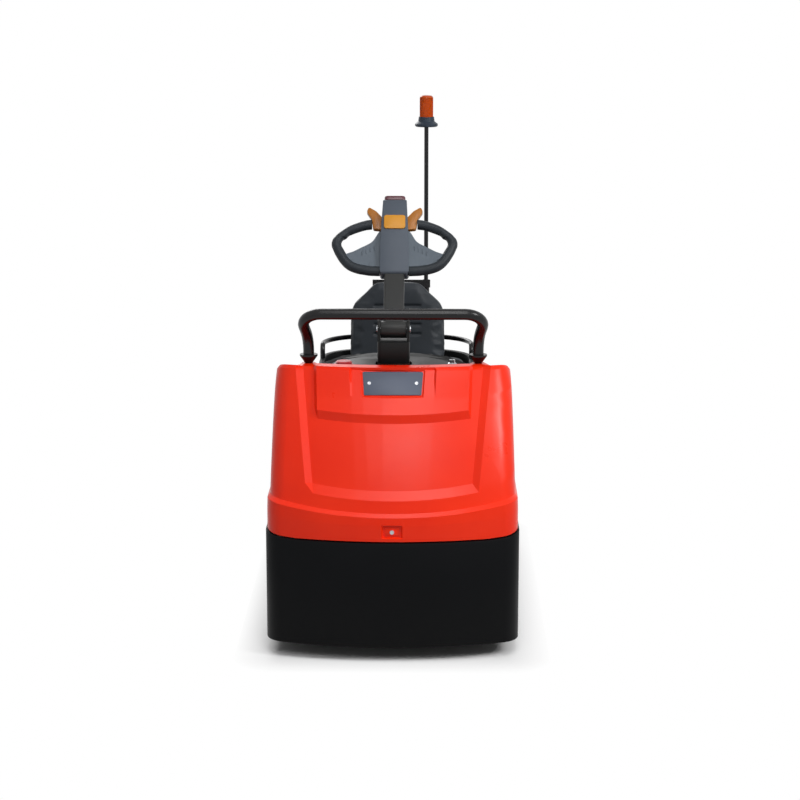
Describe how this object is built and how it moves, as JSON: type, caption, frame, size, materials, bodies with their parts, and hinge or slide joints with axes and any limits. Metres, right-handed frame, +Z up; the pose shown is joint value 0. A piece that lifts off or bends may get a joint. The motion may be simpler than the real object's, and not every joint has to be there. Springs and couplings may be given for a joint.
{
  "type": "seated electric tow tractor with tiller steering",
  "caption": "Compact seated electric tow tractor with a moulded hood on a wrap-around skirt, tiller steering, guard bar, padded seat, beacon and stepped tow coupling.",
  "frame": {"origin": "on the ground below the middle of the overall box", "axes": "+Z up, -Y towards the hood, +Y towards the coupling"},
  "size_m": [0.73, 1.5, 1.5349],
  "materials": {
    "red_moulding": "gloss",
    "black_steel": "semi-gloss",
    "black_enamel": "gloss",
    "black_plastic": "matte",
    "grey_plate": "satin",
    "bright_steel": "satin",
    "red_button": "gloss",
    "black_rubber": "matte",
    "grey_plastic": "matte",
    "seat_vinyl": "matte",
    "amber_lens": "gloss",
    "cast_housing": "matte",
    "bronze_bush": "satin",
    "tyre_rubber": "matte",
    "slate_enamel": "satin",
    "slate_plastic": "matte",
    "yellow_plastic": "satin",
    "dark_red_plastic": "satin",
    "rim_enamel": "satin"
  },
  "bodies": {
    "chassis": {"front_skirt": "black_steel", "front_hood": "red_moulding", "hood_plate": "grey_plate", "hood_latch": "bright_steel", "dash_panel": "black_plastic", "cowl_panel": "black_plastic", "guard_bar": "black_enamel", "stop_button": "red_button", "key_switch": "bright_steel", "turntable_plate": "black_steel", "floor_frame": "black_steel", "floor_mat": "black_rubber", "rear_frame": "black_steel", "battery_block": "grey_plastic", "rear_cover": "red_moulding", "seat_deck": "black_steel", "seat_tub": "black_plastic", "hip_hoop": "black_enamel", "seat_base": "black_plastic", "seat_cushion": "seat_vinyl", "seat_back": "seat_vinyl", "seat_back_shell": "black_plastic", "beacon_pole": "black_enamel", "beacon_base": "grey_plastic", "beacon_lens": "amber_lens", "rear_axles": "bright_steel", "tow_coupling": "black_steel"},
    "steering": {"drive_fork": "cast_housing", "drive_motor": "cast_housing", "steering_column": "bronze_bush", "tiller_yoke": "black_plastic", "tiller_pins": "bright_steel"},
    "drive_wheel": {"drive_hub": "cast_housing", "drive_tyre": "tyre_rubber"},
    "tiller": {"tiller_arm": "slate_enamel", "tiller_head": "grey_plastic", "tiller_grips": "slate_plastic", "tiller_levers": "yellow_plastic", "tiller_panel": "yellow_plastic", "tiller_button": "dark_red_plastic"},
    "rear_wheel_left": {"rear_rim_left": "rim_enamel", "rear_tyre_left": "tyre_rubber"},
    "rear_wheel_right": {"rear_rim_right": "rim_enamel", "rear_tyre_right": "tyre_rubber"},
    "tow_pin": {"tow_pin": "bright_steel"}
  },
  "joints": [
    {"name": "steering", "type": "hinge", "parent": "chassis", "child": "steering", "pos_m": [0, -0.405, 0.3], "axis": [0, 0, 1], "range_deg": [-75, 75]},
    {"name": "drive_wheel_spin", "type": "hinge", "parent": "steering", "child": "drive_wheel", "pos_m": [0, -0.405, 0.125], "axis": [1, 0, 0], "continuous": true},
    {"name": "tiller_tilt", "type": "hinge", "parent": "steering", "child": "tiller", "pos_m": [0, -0.405, 0.909], "axis": [-1, 0, 0], "range_deg": [0, 38], "stiffness_Nm_per_rad": 30, "springref_deg": -51.57},
    {"name": "rear_left_spin", "type": "hinge", "parent": "chassis", "child": "rear_wheel_left", "pos_m": [-0.311, 0.38, 0.125], "axis": [1, 0, 0], "continuous": true},
    {"name": "rear_right_spin", "type": "hinge", "parent": "chassis", "child": "rear_wheel_right", "pos_m": [0.311, 0.38, 0.125], "axis": [1, 0, 0], "continuous": true},
    {"name": "tow_pin_lift", "type": "slide", "parent": "chassis", "child": "tow_pin", "axis": [0, 0, 1], "range_m": [0, 0.16]}
  ]
}
